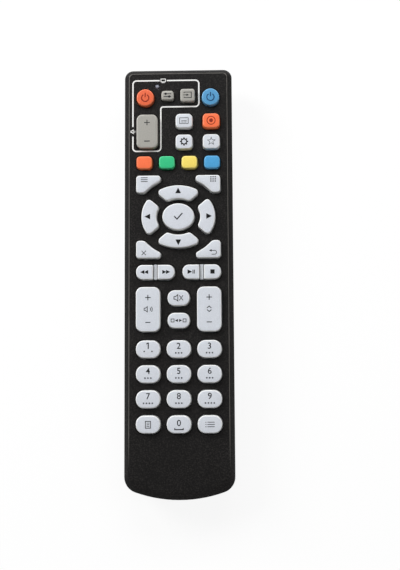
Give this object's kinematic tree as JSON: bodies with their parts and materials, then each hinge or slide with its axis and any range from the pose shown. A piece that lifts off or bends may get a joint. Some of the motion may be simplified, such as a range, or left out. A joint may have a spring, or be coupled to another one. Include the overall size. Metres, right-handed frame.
{
  "type": "remote control",
  "caption": "Slim hand-held infrared remote control with a black two-part case, rows of pale and coloured keys, a finger hollow on the back and a sprung battery cover.",
  "frame": {"origin": "under the middle of the case, on the plane of the rear pips that the remote lies on", "axes": "+X to the right and +Y towards the infrared end when the keys face the reader, +Z out of the keys"},
  "size_m": [0.048, 0.19, 0.0224],
  "materials": {
    "case_black": "fine-textured satin black moulded plastic",
    "inlay_black": "smooth darker inlay",
    "key_white": "pale silver-white satin key caps",
    "key_grey": "mid grey satin key caps",
    "power_red": "orange-red translucent rubbery cap",
    "power_blue": "light blue cap",
    "key_red": "orange-red cap",
    "key_green": "green cap",
    "key_yellow": "yellow cap",
    "key_blue": "light blue cap",
    "divider_grey": "grey bars between paired keys",
    "lamp_dark": "dark tinted lamp body",
    "lamp_clear": "pale diffusing lamp body",
    "cell_wrap": "plain printed wrap over steel",
    "contact_steel": "plated spring steel",
    "board_green": "lacquered circuit board",
    "mat_rubber": "grey silicone mat",
    "chip_black": "moulded component body",
    "resonator_blue": "dipped component body"
  },
  "bodies": {
    "root": {"front_case": "case_black", "rear_case": "case_black", "rear_inlay": "inlay_black", "battery_left": "cell_wrap", "battery_right": "cell_wrap", "contact_springs": "contact_steel", "contact_plates": "contact_steel", "circuit_board": "board_green", "keypad_mat": "mat_rubber", "divider_bars": "divider_grey", "ir_led": "lamp_dark", "indicator_led": "lamp_clear", "controller_chip": "chip_black", "resonator": "resonator_blue", "capacitor": "chip_black", "chip_components": "chip_black"},
    "battery_cover": {"battery_cover": "case_black"},
    "cover_latch": {"cover_latch": "case_black"},
    "key_tv_power": {"key_tv_power": "power_red"},
    "key_receiver_power": {"key_receiver_power": "power_blue"},
    "key_set": {"key_set": "key_grey"},
    "key_input": {"key_input": "key_grey"},
    "key_tv_volume": {"key_tv_volume": "key_grey"},
    "key_audio": {"key_audio": "key_white"},
    "key_record": {"key_record": "key_red"},
    "key_settings": {"key_settings": "key_white"},
    "key_favourite": {"key_favourite": "key_white"},
    "key_red": {"key_red": "key_red"},
    "key_green": {"key_green": "key_green"},
    "key_yellow": {"key_yellow": "key_yellow"},
    "key_blue": {"key_blue": "key_blue"},
    "key_menu": {"key_menu": "key_white"},
    "key_apps": {"key_apps": "key_white"},
    "key_exit": {"key_exit": "key_white"},
    "key_back": {"key_back": "key_white"},
    "key_up": {"key_up": "key_white"},
    "key_left": {"key_left": "key_white"},
    "key_down": {"key_down": "key_white"},
    "key_right": {"key_right": "key_white"},
    "key_ok": {"key_ok": "key_white"},
    "key_rewind": {"key_rewind": "key_white"},
    "key_forward": {"key_forward": "key_white"},
    "key_play_pause": {"key_play_pause": "key_white"},
    "key_stop": {"key_stop": "key_white"},
    "key_volume": {"key_volume": "key_white"},
    "key_channel": {"key_channel": "key_white"},
    "key_mute": {"key_mute": "key_white"},
    "key_last_channel": {"key_last_channel": "key_white"},
    "key_0": {"key_0": "key_white"},
    "key_1": {"key_1": "key_white"},
    "key_2": {"key_2": "key_white"},
    "key_3": {"key_3": "key_white"},
    "key_4": {"key_4": "key_white"},
    "key_5": {"key_5": "key_white"},
    "key_6": {"key_6": "key_white"},
    "key_7": {"key_7": "key_white"},
    "key_8": {"key_8": "key_white"},
    "key_9": {"key_9": "key_white"},
    "key_info": {"key_info": "key_white"},
    "key_guide": {"key_guide": "key_white"}
  },
  "joints": [
    {"name": "cover_hinge", "type": "hinge", "parent": "root", "child": "battery_cover", "pos_m": [0, -0.0776, 0.0007], "axis": [-1, 0, 0], "range_deg": [0, 60]},
    {"name": "latch_slide", "type": "slide", "parent": "battery_cover", "child": "cover_latch", "axis": [0, -1, 0], "range_m": [0, 0.0012], "stiffness_N_per_m": 600},
    {"name": "key_tv_power_press", "type": "slide", "parent": "root", "child": "key_tv_power", "axis": [0, 0, -1], "range_m": [0, 0.001], "stiffness_N_per_m": 800},
    {"name": "key_receiver_power_press", "type": "slide", "parent": "root", "child": "key_receiver_power", "axis": [0, 0, -1], "range_m": [0, 0.001], "stiffness_N_per_m": 800},
    {"name": "key_set_press", "type": "slide", "parent": "root", "child": "key_set", "axis": [0, 0, -1], "range_m": [0, 0.001], "stiffness_N_per_m": 800},
    {"name": "key_input_press", "type": "slide", "parent": "root", "child": "key_input", "axis": [0, 0, -1], "range_m": [0, 0.001], "stiffness_N_per_m": 800},
    {"name": "key_tv_volume_rock", "type": "hinge", "parent": "root", "child": "key_tv_volume", "pos_m": [-0.0137, 0.0661, 0.0165], "axis": [1, 0, 0], "range_deg": [-3.5, 3.5], "stiffness_Nm_per_rad": 0.06},
    {"name": "key_audio_press", "type": "slide", "parent": "root", "child": "key_audio", "axis": [0, 0, -1], "range_m": [0, 0.001], "stiffness_N_per_m": 800},
    {"name": "key_record_press", "type": "slide", "parent": "root", "child": "key_record", "axis": [0, 0, -1], "range_m": [0, 0.001], "stiffness_N_per_m": 800},
    {"name": "key_settings_press", "type": "slide", "parent": "root", "child": "key_settings", "axis": [0, 0, -1], "range_m": [0, 0.001], "stiffness_N_per_m": 800},
    {"name": "key_favourite_press", "type": "slide", "parent": "root", "child": "key_favourite", "axis": [0, 0, -1], "range_m": [0, 0.001], "stiffness_N_per_m": 800},
    {"name": "key_red_press", "type": "slide", "parent": "root", "child": "key_red", "axis": [0, 0, -1], "range_m": [0, 0.001], "stiffness_N_per_m": 800},
    {"name": "key_green_press", "type": "slide", "parent": "root", "child": "key_green", "axis": [0, 0, -1], "range_m": [0, 0.001], "stiffness_N_per_m": 800},
    {"name": "key_yellow_press", "type": "slide", "parent": "root", "child": "key_yellow", "axis": [0, 0, -1], "range_m": [0, 0.001], "stiffness_N_per_m": 800},
    {"name": "key_blue_press", "type": "slide", "parent": "root", "child": "key_blue", "axis": [0, 0, -1], "range_m": [0, 0.001], "stiffness_N_per_m": 800},
    {"name": "key_menu_press", "type": "slide", "parent": "root", "child": "key_menu", "axis": [0, 0, -1], "range_m": [0, 0.001], "stiffness_N_per_m": 800},
    {"name": "key_apps_press", "type": "slide", "parent": "root", "child": "key_apps", "axis": [0, 0, -1], "range_m": [0, 0.001], "stiffness_N_per_m": 800},
    {"name": "key_exit_press", "type": "slide", "parent": "root", "child": "key_exit", "axis": [0, 0, -1], "range_m": [0, 0.001], "stiffness_N_per_m": 800},
    {"name": "key_back_press", "type": "slide", "parent": "root", "child": "key_back", "axis": [0, 0, -1], "range_m": [0, 0.001], "stiffness_N_per_m": 800},
    {"name": "key_up_press", "type": "slide", "parent": "root", "child": "key_up", "axis": [0, 0, -1], "range_m": [0, 0.001], "stiffness_N_per_m": 800},
    {"name": "key_left_press", "type": "slide", "parent": "root", "child": "key_left", "axis": [0, 0, -1], "range_m": [0, 0.001], "stiffness_N_per_m": 800},
    {"name": "key_down_press", "type": "slide", "parent": "root", "child": "key_down", "axis": [0, 0, -1], "range_m": [0, 0.001], "stiffness_N_per_m": 800},
    {"name": "key_right_press", "type": "slide", "parent": "root", "child": "key_right", "axis": [0, 0, -1], "range_m": [0, 0.001], "stiffness_N_per_m": 800},
    {"name": "key_ok_press", "type": "slide", "parent": "root", "child": "key_ok", "axis": [0, 0, -1], "range_m": [0, 0.001], "stiffness_N_per_m": 800},
    {"name": "key_rewind_press", "type": "slide", "parent": "root", "child": "key_rewind", "axis": [0, 0, -1], "range_m": [0, 0.001], "stiffness_N_per_m": 800},
    {"name": "key_forward_press", "type": "slide", "parent": "root", "child": "key_forward", "axis": [0, 0, -1], "range_m": [0, 0.001], "stiffness_N_per_m": 800},
    {"name": "key_play_pause_press", "type": "slide", "parent": "root", "child": "key_play_pause", "axis": [0, 0, -1], "range_m": [0, 0.001], "stiffness_N_per_m": 800},
    {"name": "key_stop_press", "type": "slide", "parent": "root", "child": "key_stop", "axis": [0, 0, -1], "range_m": [0, 0.001], "stiffness_N_per_m": 800},
    {"name": "key_volume_rock", "type": "hinge", "parent": "root", "child": "key_volume", "pos_m": [-0.0133, -0.013, 0.0165], "axis": [1, 0, 0], "range_deg": [-3.5, 3.5], "stiffness_Nm_per_rad": 0.06},
    {"name": "key_channel_rock", "type": "hinge", "parent": "root", "child": "key_channel", "pos_m": [0.0133, -0.013, 0.0165], "axis": [1, 0, 0], "range_deg": [-3.5, 3.5], "stiffness_Nm_per_rad": 0.06},
    {"name": "key_mute_press", "type": "slide", "parent": "root", "child": "key_mute", "axis": [0, 0, -1], "range_m": [0, 0.001], "stiffness_N_per_m": 800},
    {"name": "key_last_channel_press", "type": "slide", "parent": "root", "child": "key_last_channel", "axis": [0, 0, -1], "range_m": [0, 0.001], "stiffness_N_per_m": 800},
    {"name": "key_0_press", "type": "slide", "parent": "root", "child": "key_0", "axis": [0, 0, -1], "range_m": [0, 0.001], "stiffness_N_per_m": 800},
    {"name": "key_1_press", "type": "slide", "parent": "root", "child": "key_1", "axis": [0, 0, -1], "range_m": [0, 0.001], "stiffness_N_per_m": 800},
    {"name": "key_2_press", "type": "slide", "parent": "root", "child": "key_2", "axis": [0, 0, -1], "range_m": [0, 0.001], "stiffness_N_per_m": 800},
    {"name": "key_3_press", "type": "slide", "parent": "root", "child": "key_3", "axis": [0, 0, -1], "range_m": [0, 0.001], "stiffness_N_per_m": 800},
    {"name": "key_4_press", "type": "slide", "parent": "root", "child": "key_4", "axis": [0, 0, -1], "range_m": [0, 0.001], "stiffness_N_per_m": 800},
    {"name": "key_5_press", "type": "slide", "parent": "root", "child": "key_5", "axis": [0, 0, -1], "range_m": [0, 0.001], "stiffness_N_per_m": 800},
    {"name": "key_6_press", "type": "slide", "parent": "root", "child": "key_6", "axis": [0, 0, -1], "range_m": [0, 0.001], "stiffness_N_per_m": 800},
    {"name": "key_7_press", "type": "slide", "parent": "root", "child": "key_7", "axis": [0, 0, -1], "range_m": [0, 0.001], "stiffness_N_per_m": 800},
    {"name": "key_8_press", "type": "slide", "parent": "root", "child": "key_8", "axis": [0, 0, -1], "range_m": [0, 0.001], "stiffness_N_per_m": 800},
    {"name": "key_9_press", "type": "slide", "parent": "root", "child": "key_9", "axis": [0, 0, -1], "range_m": [0, 0.001], "stiffness_N_per_m": 800},
    {"name": "key_info_press", "type": "slide", "parent": "root", "child": "key_info", "axis": [0, 0, -1], "range_m": [0, 0.001], "stiffness_N_per_m": 800},
    {"name": "key_guide_press", "type": "slide", "parent": "root", "child": "key_guide", "axis": [0, 0, -1], "range_m": [0, 0.001], "stiffness_N_per_m": 800}
  ]
}
